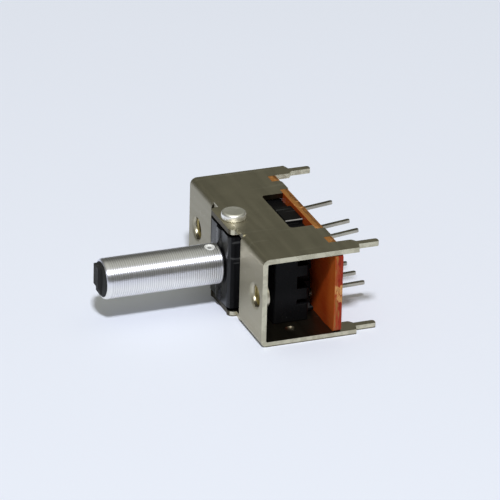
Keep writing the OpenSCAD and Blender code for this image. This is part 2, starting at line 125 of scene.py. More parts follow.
def grid_faces(rows, columns, rows_closed=False, columns_closed=True):
    """Quads between neighbouring points of a grid, wrapping round where a direction is closed."""
    r = np.arange(rows if rows_closed else rows - 1)
    c = np.arange(columns if columns_closed else columns - 1)
    r, c = np.meshgrid(r, c, indexing="ij")
    below, beside = (r + 1) % rows, (c + 1) % columns
    quads = np.stack([r * columns + c, r * columns + beside,
                      below * columns + beside, below * columns + c], axis=-1)
    return quads.reshape(-1, 4)


def new_piece(name, points, quads, material, sharp_angle=None):
    """A smooth mesh object from point and quad arrays, with normals recalculated to point
    outwards. Edges that bend by more than sharp_angle, in degrees, stay sharp."""
    mesh = bpy.data.meshes.new(name)
    mesh.from_pydata(points.reshape(-1, 3).tolist(), [], quads.tolist())
    shape = bmesh.new()
    shape.from_mesh(mesh)
    bmesh.ops.remove_doubles(shape, verts=shape.verts, dist=1e-8)
    bmesh.ops.recalc_face_normals(shape, faces=shape.faces)
    shape.to_mesh(mesh)
    shape.free()
    mesh.polygons.foreach_set("use_smooth", np.ones(len(mesh.polygons), bool))
    if sharp_angle:
        mesh.set_sharp_from_angle(angle=math.radians(sharp_angle))
    mesh.materials.append(material)
    return linked(name, mesh)


def even_turns(count):
    """Equal angles round a full turn."""
    return np.linspace(0, 2 * math.pi, count, endpoint=False)


def revolved(radii, heights, count):
    """A profile carried round Z: at each of count equal angles the point lies radius away from
    the axis, at its height."""
    radius, angle = np.asarray(radii)[:, None], even_turns(count)[None, :]
    height = np.broadcast_to(np.asarray(heights)[:, None], (len(radii), count))
    return np.stack([radius * np.sin(angle), radius * np.cos(angle), height], axis=-1)


def merged_copy(node, reshape):
    """A copy of a CAD node's mesh in millimetres, with its doubled points merged, its points moved
    by reshape where that is given, and its flat faces joined."""
    mesh = frame["nodes"][node].data.copy()
    mesh.materials.clear()
    shape = bmesh.new()
    shape.from_mesh(mesh)
    bmesh.ops.scale(shape, vec=(1 / MM,) * 3, verts=shape.verts)
    bmesh.ops.remove_doubles(shape, verts=shape.verts, dist=0.0005)
    if reshape:
        shape.to_mesh(mesh)
        points = np.empty(len(mesh.vertices) * 3)
        mesh.vertices.foreach_get("co", points)
        mesh.vertices.foreach_set("co", reshape(points.reshape(-1, 3)).ravel())
        shape.clear()
        shape.from_mesh(mesh)
    bmesh.ops.dissolve_limit(shape, angle_limit=math.radians(0.6), verts=shape.verts, edges=shape.edges)
    shape.to_mesh(mesh)
    shape.free()
    if "custom_normal" in mesh.attributes:
        mesh.attributes.remove(mesh.attributes["custom_normal"])
    return mesh


def softened_copy(node, name, softness, materials, segments=3, edge_angle=32, reshape=None):
    """A merged copy of a CAD node whose edges of more than edge_angle degrees are rounded off by
    softness. The rounding is worked out in millimetres, because Blender's bevel is coarse below
    0.1 mm, and then applied, so the finished mesh is in metres with its object at the origin."""
    mesh = merged_copy(node, reshape)
    for material in materials:
        mesh.materials.append(material)
    mesh.polygons.foreach_set("material_index", np.zeros(len(mesh.polygons), int))
    mesh.polygons.foreach_set("use_smooth", np.ones(len(mesh.polygons), bool))
    work = linked(name + "_work", mesh)
    bevel = work.modifiers.new("softened_edges", "BEVEL")
    bevel.width = softness / MM
    bevel.segments = segments
    bevel.limit_method = "ANGLE"
    bevel.angle_limit = math.radians(edge_angle)
    bevel.use_clamp_overlap = True
    bevel.miter_outer = "MITER_ARC"
    level = work.modifiers.new("level_normals", "WEIGHTED_NORMAL")
    level.keep_sharp = False
    level.weight = 100
    bpy.context.view_layer.update()
    made = bpy.data.meshes.new_from_object(work.evaluated_get(bpy.context.evaluated_depsgraph_get()))
    made.name = name
    made.transform(Matrix.Scale(MM, 4))
    bpy.data.objects.remove(work)
    bpy.data.meshes.remove(mesh)
    return linked(name, made)


def face_table(mesh):
    """Centres and normals of a mesh's faces, as two arrays."""
    centres, normals = np.empty(len(mesh.polygons) * 3), np.empty(len(mesh.polygons) * 3)
    mesh.polygons.foreach_get("center", centres)
    mesh.polygons.foreach_get("normal", normals)
    return centres.reshape(-1, 3), normals.reshape(-1, 3)


# Node helpers


def put(tree, socket, value):
    """Links another node's output to an input socket, or gives the socket a plain value."""
    if isinstance(value, bpy.types.NodeSocket):
        tree.links.new(value, socket)
    else:
        socket.default_value = value


def add_node(tree, kind, inputs=None, **settings):
    """A node with its settings, whose inputs take plain values or other nodes' outputs."""
    made = tree.nodes.new(kind)
    for key, value in settings.items():
        setattr(made, key, value)
    for key, value in (inputs or {}).items():
        put(tree, made.inputs[key], value)
    return made


def maths(tree, operation, first, second=0.0, clamp=False):
    """Output of a Math node on two values or sockets."""
    return add_node(tree, "ShaderNodeMath", {0: first, 1: second}, operation=operation, use_clamp=clamp).outputs[0]


def plus(tree, base, extra, share, clamp=False):
    """Output of base plus a share of extra."""
    made = add_node(tree, "ShaderNodeMath", {0: extra, 1: share, 2: base}, operation="MULTIPLY_ADD", use_clamp=clamp)
    return made.outputs[0]


def stepped(tree, value, low, high, out_low=0.0, out_high=1.0):
    """Output of a smooth Map Range from low..high to out_low..out_high."""
    made = add_node(tree, "ShaderNodeMapRange",
                    {"Value": value, "From Min": low, "From Max": high,
                     "To Min": out_low, "To Max": out_high}, interpolation_type="SMOOTHSTEP")
    return made.outputs["Result"]


def blended(tree, mask, first, second):
    """Output of a colour Mix, first where the mask is 0 and second where it is 1."""
    return add_node(tree, "ShaderNodeMix", {0: mask, 6: first, 7: second}, data_type="RGBA").outputs[2]


def scaled_place(tree, vector, scale):
    """The place vector stretched by a different number along each axis."""
    return add_node(tree, "ShaderNodeMapping", {"Vector": vector, "Scale": scale}).outputs["Vector"]


def parts_of(tree, vector):
    """The X, Y and Z outputs of a vector."""
    return add_node(tree, "ShaderNodeSeparateXYZ", {"Vector": vector}).outputs


def noise(tree, vector, scale, detail=3.0, roughness=0.55):
    """Output of a noise texture, 0 to 1."""
    made = add_node(tree, "ShaderNodeTexNoise",
                    {"Vector": vector, "Scale": scale, "Detail": detail, "Roughness": roughness})
    return made.outputs["Fac"]


def tinted(colour, strength=1.0):
    """A colour times the strength, which is one number or three, as the four that a socket takes."""
    return (*(np.array(colour) * strength), 1.0)


def new_group(name, numbers, results):
    """An empty shader node group that takes a Vector and named numbers and puts out named
    numbers, with the sockets of its input and output nodes."""
    group = bpy.data.node_groups.new(name, "ShaderNodeTree")
    group.interface.new_socket(name="Vector", in_out="INPUT", socket_type="NodeSocketVector")
    for label, default in numbers.items():
        socket = group.interface.new_socket(name=label, in_out="INPUT", socket_type="NodeSocketFloat")
        socket.default_value = default
    for label in results:
        group.interface.new_socket(name=label, in_out="OUTPUT", socket_type="NodeSocketFloat")
    return group, group.nodes.new("NodeGroupInput").outputs, group.nodes.new("NodeGroupOutput").inputs


def handling_marks():
    """Group: fine scratches and small dull specks, as one mask, with a cloudy tone beside it."""
    if "handling_marks" in bpy.data.node_groups:
        return bpy.data.node_groups["handling_marks"]
    group, given, results = new_group(
        "handling_marks", {"Scratch Scale": 900.0, "Speck Scale": 2600.0, "Amount": 0.5}, ("Mask", "Cloud"))
    place = given["Vector"]
    lean = add_node(group, "ShaderNodeMapping", {"Vector": place, "Rotation": (0.5, 0.9, 0.35),
                                                 "Scale": (1.0, 0.05, 1.0)}).outputs["Vector"]
    scratches = stepped(group, noise(group, lean, given["Scratch Scale"], 2.0, 0.5), 0.655, 0.70)
    cells = add_node(group, "ShaderNodeTexVoronoi", {"Vector": place, "Scale": given["Speck Scale"]})
    dots = stepped(group, cells.outputs["Distance"], 0.16, 0.08)
    sparse = stepped(group, noise(group, place, 700.0, 2.0), 0.56, 0.66)
    both = maths(group, "MAXIMUM", scratches, maths(group, "MULTIPLY", dots, sparse))
    group.links.new(maths(group, "MULTIPLY", both, given["Amount"], clamp=True), results["Mask"])
    group.links.new(noise(group, place, 260.0, 4.0), results["Cloud"])
    return group


def surface_grain():
    """Group: a fine uneven height with a second, finer one on it."""
    if "surface_grain" in bpy.data.node_groups:
        return bpy.data.node_groups["surface_grain"]
    group, given, results = new_group("surface_grain", {"Scale": 3000.0, "Fine Share": 0.4}, ("Height",))
    place = given["Vector"]
    wide = noise(group, place, given["Scale"], 3.0, 0.5)
    fine = noise(group, place, maths(group, "MULTIPLY", given["Scale"], 4.3), 2.0, 0.5)
    group.links.new(plus(group, wide, fine, given["Fine Share"]), results["Height"])
    return group


def placed(tree, group, place, **numbers):
    """A group's outputs on a material's place, with its numbers, which are named by their labels
    with an underline for each blank."""
    made = add_node(tree, "ShaderNodeGroup", {}, node_tree=group)
    put(tree, made.inputs["Vector"], place)
    for key, value in numbers.items():
        put(tree, made.inputs[key.replace("_", " ")], value)
    return made.outputs


def new_material(name):
    """A material with its tree, its shader and the place on the object."""
    material = bpy.data.materials.new(name)
    material.use_nodes = True
    tree = material.node_tree
    return material, tree, tree.nodes["Principled BSDF"], add_node(tree, "ShaderNodeTexCoord").outputs["Object"]


def finish(tree, shader, tone, rough, metallic=0.0):
    """Gives the shader its colour, roughness and metallic share."""
    put(tree, shader.inputs["Base Color"], tone)
    put(tree, shader.inputs["Roughness"], rough)
    put(tree, shader.inputs["Metallic"], metallic)


def raise_bumps(tree, shader, height, distance):
    """Feeds a height to the shader's normal through a Bump node."""
    bump = add_node(tree, "ShaderNodeBump", {"Height": height, "Distance": distance})
    tree.links.new(bump.outputs["Normal"], shader.inputs["Normal"])


# Finishes


def nickel_plate(look, name, colour, rear_colour=None):
    """Dull warm nickel over rolled steel: cloudy tone, rolling streaks along X and light handling
    marks. Painted shade makes it darker upwards and gives the front plate an even tone of its own,
    darkest left of the lever. rear_colour, where it is given, takes over behind the board."""
    material, tree, shader, place = new_material(name)
    parts = parts_of(tree, place)
    marks = placed(tree, handling_marks(), place, Scratch_Scale=1300.0, Amount=0.25)
    streak = noise(tree, scaled_place(tree, place, (60.0, 900.0, 900.0)), 1.0, 3.0)
    front = stepped(tree, parts["Y"], 0.1 * MM, 0.3 * MM, 1.0, 0.0)
    right = stepped(tree, parts["X"], -4.0 * MM, -2.0 * MM)
    # Painted shade: darker upwards, partly mixed with a random cloudy tone.
    upper = plus(tree, stepped(tree, parts["Z"], -3.0 * MM, 4.5 * MM, 0.0, 0.8),
                 stepped(tree, marks["Cloud"], 0.3, 0.7), -0.25, clamp=True)
    tone = blended(tree, upper, tinted(colour, 1.12), tinted(colour, 0.8))
    # Painted shade on the front plate: an even darker tone, darkest left of the lever.
    front_tone = blended(tree, right, tinted(colour, 0.72), tinted(colour, (0.84, 0.83, 0.79)))
    tone = blended(tree, front, tone, front_tone)
    if rear_colour is not None:
        behind = stepped(tree, parts["Y"], BOARD_REAR, BOARD_REAR + 0.06 * MM)
        tone = blended(tree, behind, tone, tinted(rear_colour, 0.9))
    tone = blended(tree, marks["Mask"], tone, tinted(look.scratch_colour))
    rough = stepped(tree, streak, 0.3, 0.7, look.nickel_roughness - 0.03, look.nickel_roughness + 0.04)
    rough = plus(tree, plus(tree, rough, front, 0.1), marks["Mask"], 0.12)
    finish(tree, shader, tone, rough, metallic=1.0)
    grain = placed(tree, surface_grain(), place, Scale=1700.0, Fine_Share=0.3)
    height = plus(tree, plus(tree, grain["Height"], streak, 0.5), marks["Mask"], -0.3)
    raise_bumps(tree, shader, height, 0.012 * MM)
    return material


def sheared_edge(look):
    """Cut edge of the sheet: a bright burnished band and a rougher torn one, with fine upright
    lines, and a painted contact shadow: a dark line along the lower flange's underside."""
    material, tree, shader, place = new_material("sheared_edge")
    lines = noise(tree, scaled_place(tree, place, (4200.0, 4200.0, 500.0)), 1.0, 2.0)
    torn = stepped(tree, noise(tree, place, 900.0, 3.0), 0.42, 0.6)
    tone = blended(tree, torn, tinted(look.sheared_colour), tinted(look.sheared_colour, 0.86))
    # Painted contact shadow: the lowest strip of the cut edge takes the dark inner shade colour.
    under = stepped(tree, parts_of(tree, place)["Z"], 0.1 * MM - HALF_HEIGHT, 0.24 * MM - HALF_HEIGHT, 0.85, 0.0)
    tone = blended(tree, under, tone, tinted(look.inner_shade_colour))
    finish(tree, shader, tone, stepped(tree, torn, 0.0, 1.0, 0.36, 0.52), metallic=1.0)
    raise_bumps(tree, shader, maths(tree, "ADD", lines, torn), 0.008 * MM)
    return material


def bare_brass(look):
    """Yellow cut metal inside the tapped holes, with the tap's fine lines round the hole."""
    material, tree, shader, place = new_material("bare_brass")
    film = noise(tree, place, 2500.0, 3.0)
    tone = blended(tree, film, tinted(look.brass_colour, 0.8), tinted(look.brass_colour))
    finish(tree, shader, tone, stepped(tree, film, 0.3, 0.7, 0.42, 0.58), metallic=1.0)
    raise_bumps(tree, shader, noise(tree, place, 9000.0, 2.0), 0.008 * MM)
    return material


def ring_layout(look):
    """From the sleeve's root to its first ring, the distance between two rings, and their number."""
    ringed = SLEEVE_ROOT - SLEEVE_TIP - look.plain_tip - look.plain_root
    count = round(ringed / look.ring_pitch)
    return look.plain_root, ringed / count, count


def turned_aluminium(look):
    """Bright turned aluminium: its tone and gloss change from ring to ring, painted shade darkens the
    grooves, a painted reflection tint makes it cooler above the middle, and the metal staked round
    the dimple scatters light."""
    material, tree, shader, place = new_material("turned_aluminium")
    parts = parts_of(tree, place)
    dimple = (SLEEVE_RADIUS * math.sin(look.dimple_turn), SLEEVE_ROOT - look.dimple_place,
              SLEEVE_RADIUS * math.cos(look.dimple_turn))
    away = add_node(tree, "ShaderNodeVectorMath", {0: place, 1: dimple}, operation="DISTANCE").outputs["Value"]
    staked = maths(tree, "MULTIPLY", stepped(tree, away, 0.28 * MM, 0.45 * MM),
                   stepped(tree, away, 0.82 * MM, 0.72 * MM))
    ring = noise(tree, scaled_place(tree, place, (0.0, 5200.0, 0.0)), 1.0, 2.0)
    start, pitch, count = ring_layout(look)
    turns = maths(tree, "MULTIPLY", maths(tree, "SUBTRACT", SLEEVE_ROOT - start, parts["Y"]), 1 / pitch)
    ringed = maths(tree, "MULTIPLY", stepped(tree, turns, -0.2, 0.0),
                   stepped(tree, turns, count, count + 0.2, 1.0, 0.0))
    groove = stepped(tree, maths(tree, "PINGPONG", turns, 0.5), 0.0, 0.22, 1.0, 0.0)
    groove = maths(tree, "MULTIPLY", groove, ringed)
    metal, warm, cool = look.aluminium_colour, np.array((1.0, 0.985, 0.955)), np.array((0.9, 0.905, 1.0))
    # Painted reflection tint: cool above the middle, warm below it.
    high = stepped(tree, parts["Z"], -1.0 * MM, 1.5 * MM)
    light, dark = (blended(tree, high, tinted(metal, warm * level), tinted(metal, cool * level))
                   for level in (1.0, 0.84))
    tone = blended(tree, stepped(tree, ring, 0.3, 0.7), dark, light)
    # Painted shade darkens the grooves.
    tone = blended(tree, maths(tree, "MULTIPLY", groove, 0.7), tone, tinted(metal, 0.5))
    marks = placed(tree, handling_marks(), place, Scratch_Scale=1700.0, Amount=0.4)
    tone = blended(tree, marks["Mask"], tone, tinted(metal, 0.6))
    tone = blended(tree, staked, tone, tinted(look.staked_colour))
    rough = stepped(tree, ring, 0.3, 0.7, look.sleeve_roughness, look.sleeve_roughness + 0.07)
    finish(tree, shader, tone, plus(tree, rough, staked, 0.28), stepped(tree, staked, 0.0, 1.0, 1.0, 0.45))
    round_sleeve = add_node(tree, "ShaderNodeTangent", direction_type="RADIAL", axis="Y")
    tree.links.new(round_sleeve.outputs["Tangent"], shader.inputs["Tangent"])
    shader.inputs["Anisotropic"].default_value = 0.83
    shader.inputs["Anisotropic Rotation"].default_value = 0.25
    raise_bumps(tree, shader, ring, 0.006 * MM)
    return material


def rivet_metal(look):
    """Satin rivet metal with a few pressed scuffs on the head, and a painted highlight on its side."""
    material, tree, shader, place = new_material("rivet_metal")
    marks = placed(tree, handling_marks(), place, Scratch_Scale=1500.0, Amount=0.7)
    smear = stepped(tree, noise(tree, scaled_place(tree, place, (900.0, 260.0, 900.0)), 1.0, 3.0), 0.45, 0.62)
    # Painted highlight: the head's side, just under its top, is brighter.
    side = stepped(tree, parts_of(tree, place)["Z"], RIVET_TOP - 0.3 * MM, RIVET_TOP - 0.12 * MM, 1.0, 0.0)
    tone = blended(tree, smear, tinted(look.rivet_colour), tinted(look.rivet_colour, 0.8))
    tone = blended(tree, side, tone, tinted(look.side_highlight_colour))
    rough = stepped(tree, smear, 0.0, 1.0, look.rivet_roughness, look.rivet_roughness + 0.12)
    rough = plus(tree, plus(tree, rough, side, -0.05), marks["Mask"], 0.1)
    finish(tree, shader, tone, rough, metallic=1.0)
    grain = placed(tree, surface_grain(), place, Scale=1900.0, Fine_Share=0.5)
    raise_bumps(tree, shader, maths(tree, "SUBTRACT", grain["Height"], marks["Mask"]), 0.01 * MM)
    return material


def black_plastic(look, name, roughness, gloss):
    """Black moulding: fine matt grain, cloudy gloss, pale scuffs and dust specks, and a painted
    highlight as a light line along the right-hand end of the slider's upper lug."""
    material, tree, shader, place = new_material(name)
    parts = parts_of(tree, place)
    marks = placed(tree, handling_marks(), place, Scratch_Scale=800.0, Speck_Scale=2200.0, Amount=0.35)
    # Painted highlight: a light line along the right-hand end of the slider's upper lug.
    lug_highlight = maths(tree, "MULTIPLY", stepped(tree, parts["Z"], SLIDER_TOP - 0.16 * MM, SLIDER_TOP - 0.1 * MM),
                 stepped(tree, parts["X"], LUG_HALF - 0.16 * MM, LUG_HALF - 0.1 * MM))
    tone = blended(tree, marks["Mask"], tinted(look.plastic_colour), tinted(look.scuff_colour))
    tone = blended(tree, lug_highlight, tone, tinted(look.lug_highlight_colour))
    finish(tree, shader, tone, stepped(tree, marks["Cloud"], 0.3, 0.7, roughness - 0.06, roughness + 0.08))
    shader.inputs["Specular IOR Level"].default_value = gloss
    grain = placed(tree, surface_grain(), place, Scale=2400.0, Fine_Share=0.6)
    raise_bumps(tree, shader, grain["Height"], 0.02 * MM)
    return material


def laminate_face(look):
    """Laminate face: paper fibres along X, cloudy resin, and painted light paler towards the board's ends."""
    material, tree, shader, place = new_material("laminate_face")
    fibre = noise(tree, scaled_place(tree, place, (260.0, 900.0, 1500.0)), 1.0, 5.0, 0.6)
    cloud = stepped(tree, noise(tree, place, 170.0, 3.0), 0.25, 0.75, -0.15, 0.3)
    # Painted light: the faces are paler towards the board's ends, where light comes in.
    painted_light_by_end = stepped(tree, maths(tree, "ABSOLUTE", parts_of(tree, place)["X"]), BOARD_END - 3.4 * MM,
                     BOARD_END - 1.0 * MM, 0.15, 0.7)
    shade = maths(tree, "ADD", painted_light_by_end, cloud, clamp=True)
    tone = blended(tree, shade, tinted(look.face_dark_colour), tinted(look.face_colour))
    tone = blended(tree, stepped(tree, fibre, 0.58, 0.75, 0.0, 0.35), tone, tinted(look.chip_colour))
    finish(tree, shader, tone, stepped(tree, fibre, 0.3, 0.7, 0.34, 0.5))
    shader.inputs["Specular IOR Level"].default_value = 0.25
    raise_bumps(tree, shader, fibre, 0.015 * MM)
    return material


def laminate_edge(look):
    """Cut edge of the laminate. The ends are red in their rear half and orange in front, the long
    edges tan with darker layers in their rear half, and both are torn open in pale patches, most
    of all at the middle of the ends."""
    material, tree, shader, place = new_material("laminate_edge")
    parts = parts_of(tree, place)
    layers = noise(tree, scaled_place(tree, place, (500.0, 7000.0, 500.0)), 1.0, 3.0)
    layer = stepped(tree, layers, 0.35, 0.65)
    at_end = stepped(tree, maths(tree, "ABSOLUTE", parts["X"]), BOARD_END - 0.6 * MM, BOARD_END - 0.2 * MM)
    split = (BOARD_FRONT + BOARD_REAR) / 2
    wander = stepped(tree, noise(tree, place, 420.0, 3.0), 0.3, 0.7, -0.25 * MM, 0.25 * MM)
    in_rear = stepped(tree, maths(tree, "ADD", parts["Y"], wander), split - 0.12 * MM, split + 0.12 * MM)
    from_chip = maths(tree, "ABSOLUTE", maths(tree, "ADD", parts["Z"], look.chip_place))
    near_chip = stepped(tree, from_chip, 0.8 * MM, 1.7 * MM, 0.13, -0.09)
    bias = maths(tree, "ADD", maths(tree, "MULTIPLY", near_chip, at_end), stepped(tree, at_end, 0.0, 1.0, -0.04, 0.0))
    patch = noise(tree, scaled_place(tree, place, (1.0, 1.0, 0.7)), 1100.0, 5.0, 0.65)
    torn = stepped(tree, maths(tree, "ADD", patch, bias), 0.54, 0.62)
    fibre = noise(tree, place, 3800.0, 4.0)
    pale = blended(tree, stepped(tree, fibre, 0.35, 0.65), tinted(look.chip_colour, 0.7), tinted(look.chip_colour))
    tan, edge = tinted(look.land_colour), tinted(look.edge_colour)
    red = blended(tree, layer, tinted(look.edge_dark_colour), edge)
    orange = blended(tree, layer, edge, tan)
    layered = blended(tree, stepped(tree, layers, 0.3, 0.7), tan, tinted(look.land_dark_colour))
    long_edge = blended(tree, in_rear, tan, layered)
    tone = blended(tree, at_end, long_edge, orange)
    tone = blended(tree, maths(tree, "MULTIPLY", at_end, in_rear), tone, red)
    finish(tree, shader, blended(tree, torn, tone, pale), stepped(tree, torn, 0.0, 1.0, 0.42, 0.75))
    shader.inputs["Specular IOR Level"].default_value = 0.12
    raise_bumps(tree, shader, plus(tree, maths(tree, "MULTIPLY", fibre, torn), layers, 0.5), 0.04 * MM)
    return material


def tinned_brass(look):
    """Dipped tin on the terminals: soft tone changes and small runs along the pin."""
    material, tree, shader, place = new_material("tinned_brass")
    runs = noise(tree, scaled_place(tree, place, (1500.0, 500.0, 1500.0)), 1.0, 4.0)
    tone = blended(tree, stepped(tree, runs, 0.35, 0.65), tinted(look.tin_colour, 0.72), tinted(look.tin_colour))
    finish(tree, shader, tone, stepped(tree, runs, 0.3, 0.7, 0.16, 0.3), metallic=1.0)
    raise_bumps(tree, shader, runs, 0.03 * MM)
    return material


def contact_bronze(look):
    """Rolled spring bronze with faint darkened patches."""
    material, tree, shader, place = new_material("contact_bronze")
    patch = noise(tree, scaled_place(tree, place, (300.0, 900.0, 900.0)), 1.0, 4.0)
    tone = blended(tree, stepped(tree, patch, 0.4, 0.7), tinted(look.bronze_colour), tinted(look.bronze_colour, 0.62))
    finish(tree, shader, tone, stepped(tree, patch, 0.3, 0.7, 0.26, 0.4), metallic=1.0)
    raise_bumps(tree, shader, patch, 0.01 * MM)
    return material


def detent_steel(look):
    """Ground ball and drawn wire steel, lightly oiled."""
    material, tree, shader, place = new_material("detent_steel")
    film = noise(tree, place, 1400.0, 3.0)
    tone = blended(tree, film, tinted(look.steel_colour, 0.85), tinted(look.steel_colour))
    finish(tree, shader, tone, stepped(tree, film, 0.3, 0.7, 0.14, 0.24), metallic=1.0)
    return material


def floor_finish(look):
    """Pale matt studio floor with a barely uneven tone."""
    material, tree, shader, place = new_material("studio_floor")
    tone = blended(tree, noise(tree, place, 9.0, 2.0), tinted(look.floor_colour, 0.985), tinted(look.floor_colour))
    finish(tree, shader, tone, 0.7)
    shader.inputs["Specular IOR Level"].default_value = 0.2
    return material


# What a user may change


def colour_property(name, description, default):
    """A colour property with three numbers between 0 and 1."""
    return FloatVectorProperty(name=name, description=description, default=default, size=3,
                               subtype="COLOR", min=0.0, max=1.0)


def length_property(name, description, default, low, high):
    """A length property in metres with its limits."""
    return FloatProperty(name=name, description=description, default=default, min=low, max=high,
                         unit="LENGTH", precision=6)


def share_property(name, description, default, low=0.05):
    """A roughness or gloss property with a number up to 1."""
    return FloatProperty(name=name, description=description, default=default, min=low, max=1.0, subtype="FACTOR")


class SWITCH_PG_bracket(bpy.types.PropertyGroup):
    """Finish of the folded sheet and its tapped holes"""

    nickel_colour: colour_property("Nickel", "Colour of the plated sheet", (0.50, 0.465, 0.36))
    # Painted shade: the dark nickel on the inner faces and on the cut faces that lie in shade.
    inner_shade_colour: colour_property("Inner shade", "Colour of the painted shade on the inner faces", (0.11, 0.095, 0.068))
    scratch_colour: colour_property("Scratches", "Colour of the fine scratches", (0.62, 0.60, 0.52))
    sheared_colour: colour_property("Cut edges", "Colour of the sheet's cut edges", (0.62, 0.588, 0.45))
    brass_colour: colour_property("Thread", "Colour of the cut metal in the holes", (0.50, 0.41, 0.18))
    nickel_roughness: share_property("Roughness", "How dull the plating is", 0.37)
    edge_softness: length_property("Edge rounding", "Rounding on the sheet's edges", 0.0001, 0.00001, 0.0002)
    thread_pitch: length_property("Thread pitch", "Distance between two thread turns", 0.0005, 0.0003, 0.0008)
    thread_depth: length_property("Thread depth", "How far the thread stands into the hole", 0.00026, 0.0001, 0.0004)


class SWITCH_PG_sleeve(bpy.types.PropertyGroup):
    """Shape and finish of the turned sleeve"""

    aluminium_colour: colour_property("Aluminium", "Colour of the turned metal", (0.97, 0.97, 0.97))
    staked_colour: colour_property("Staked metal", "Colour of the metal round the dimple", (0.95, 0.95, 0.95))
    sleeve_roughness: share_property("Roughness", "How dull the turned metal is", 0.35)
    ring_pitch: length_property("Ring pitch", "Distance between two turned rings", 0.00033, 0.0002, 0.0008)
    ring_depth: length_property("Ring depth", "Depth of the turned rings", 0.00004, 0.0, 0.0001)
    plain_root: length_property("Plain root", "Plain length at the sleeve's root", 0.0004, 0.0002, 0.002)
    plain_tip: length_property("Plain tip", "Plain and bevelled length at the sleeve's tip", 0.00085, 0.0007, 0.002)
    dimple_radius: length_property("Dimple radius", "Radius of the staking dimple", 0.00062, 0.0003, 0.001)
    dimple_depth: length_property("Dimple depth", "Depth of the staking dimple", 0.00024, 0.0, 0.00035)
    dimple_place: length_property("Dimple place", "From the sleeve's root to the dimple", 0.00135, 0.0008, 0.003)
    dimple_turn: FloatProperty(name="Dimple turn", description="Turn of the dimple from the top",
                               default=math.radians(8), min=0.0, max=math.pi, unit="ROTATION")


class SWITCH_PG_rivet(bpy.types.PropertyGroup):
    """Shape and finish of the pivot rivet"""

    rivet_colour: colour_property("Rivet metal", "Colour of the rivet", (0.78, 0.77, 0.72))
    # Painted highlight on the head's side.
    side_highlight_colour: colour_property("Head's side", "Colour of the painted highlight on the head's side", (0.99, 0.98, 0.95))
    rivet_roughness: share_property("Roughness", "How dull the rivet is", 0.46)
    dish_depth: length_property("Dish depth", "Hollow in the middle of the head", 0.00001, 0.0, 0.0002)


class SWITCH_PG_moulding(bpy.types.PropertyGroup):
    """Finish of the black lever and slider"""

    plastic_colour: colour_property("Plastic", "Colour of the black plastic", (0.004, 0.004, 0.0045))
    scuff_colour: colour_property("Scuffs", "Colour of the pale scuffs", (0.11, 0.11, 0.11))
    # Painted highlight on the slider's lug.
    lug_highlight_colour: colour_property("Lug highlight", "Colour of the painted highlight on the slider's lug", (0.32, 0.31, 0.30))
    plastic_roughness: share_property("Roughness", "How dull the plastic is", 0.3)
    matt_roughness: share_property("Stem end roughness", "How dull the stem's torn end is", 0.75)
    lever_gloss: share_property("Lever gloss", "How much the lever reflects", 0.4, low=0.0)
    slider_gloss: share_property("Slider gloss", "How much the slider reflects", 0.08, low=0.0)
    edge_softness: length_property("Edge rounding", "Rounding on the moulded edges", 0.00012, 0.00001, 0.0004)


class SWITCH_PG_board(bpy.types.PropertyGroup):
    """Finish of the laminate terminal board"""

    face_colour: colour_property("Face", "Colour of the laminate's faces", (0.56, 0.125, 0.018))
    face_dark_colour: colour_property("Face, dark", "Darker colour in the faces", (0.37, 0.04, 0.005))
    edge_colour: colour_property("Ends", "Colour of the laminate's cut ends", (0.30, 0.030, 0.010))
    edge_dark_colour: colour_property("Ends, dark", "Darker layers in the cut ends", (0.19, 0.014, 0.006))
    land_colour: colour_property("Long edges", "Colour of the upper and lower edges", (0.27, 0.115, 0.030))
    land_dark_colour: colour_property("Long edges, dark", "Darker layers in those edges", (0.075, 0.028, 0.010))
    chip_colour: colour_property("Torn fibre", "Colour of torn patches", (0.56, 0.27, 0.10))
    chip_place: length_property("Chip place", "How far under the middle the ends are chipped most", 0.0, 0.0, 0.005)
    chip_depth: length_property("Chip depth", "Depth of the chips in the board's ends", 0.00009, 0.0, 0.0002)
    edge_softness: length_property("Edge rounding", "Rounding on the board's edges", 0.00007, 0.00001, 0.0002)


class SWITCH_PG_terminals(bpy.types.PropertyGroup):
    """Finish of the terminals"""

    tin_colour: colour_property("Tin", "Colour of the tinned terminals", (0.46, 0.435, 0.365))
    edge_softness: length_property("Edge rounding", "Rounding on the terminals' edges", 0.00006, 0.00001, 0.0002)


class SWITCH_PG_inside(bpy.types.PropertyGroup):
    """Finish of the contacts, balls and springs"""

    bronze_colour: colour_property("Bronze", "Colour of the contacts", (0.58, 0.36, 0.14))
    steel_colour: colour_property("Steel", "Colour of the balls and springs", (0.56, 0.57, 0.58))


class SWITCH_PG_stage(bpy.types.PropertyGroup):
    """Floor, light and camera"""

    floor_colour: colour_property("Floor", "Colour of the studio floor", (0.78, 0.81, 0.93))
    wall_colour: colour_property("Walls", "Colour of the dim studio round the floor", (0.13, 0.13, 0.107))
    ceiling_colour: colour_property("Ceiling", "Colour of the studio overhead", (0.68, 0.68, 0.56))
    floor_radius: length_property("Floor radius", "Radius of the round floor", 1.6, 0.3, 5.0)
    key_power: FloatProperty(name="Lamp", description="Power of the lamp in watts", default=36.5,
                             min=0.0, max=500.0, unit="POWER")
    camera_place: FloatVectorProperty(name="Camera place", description="Where the camera stands", size=3,
                                      default=(0.5120117, -0.1975683, 0.2586427), subtype="TRANSLATION")
    camera_turn: FloatVectorProperty(name="Camera turn", description="How the camera is turned", size=3,
                                     default=tuple(math.radians(a) for a in (64.92705533, -1.36991668, 69.16894603)),
                                     subtype="EULER")
    camera_lens: FloatProperty(name="Lens", description="Focal length for a 36 mm wide sensor, in millimetres",
                               default=302.4, min=50.0, max=1000.0)


# Pieces


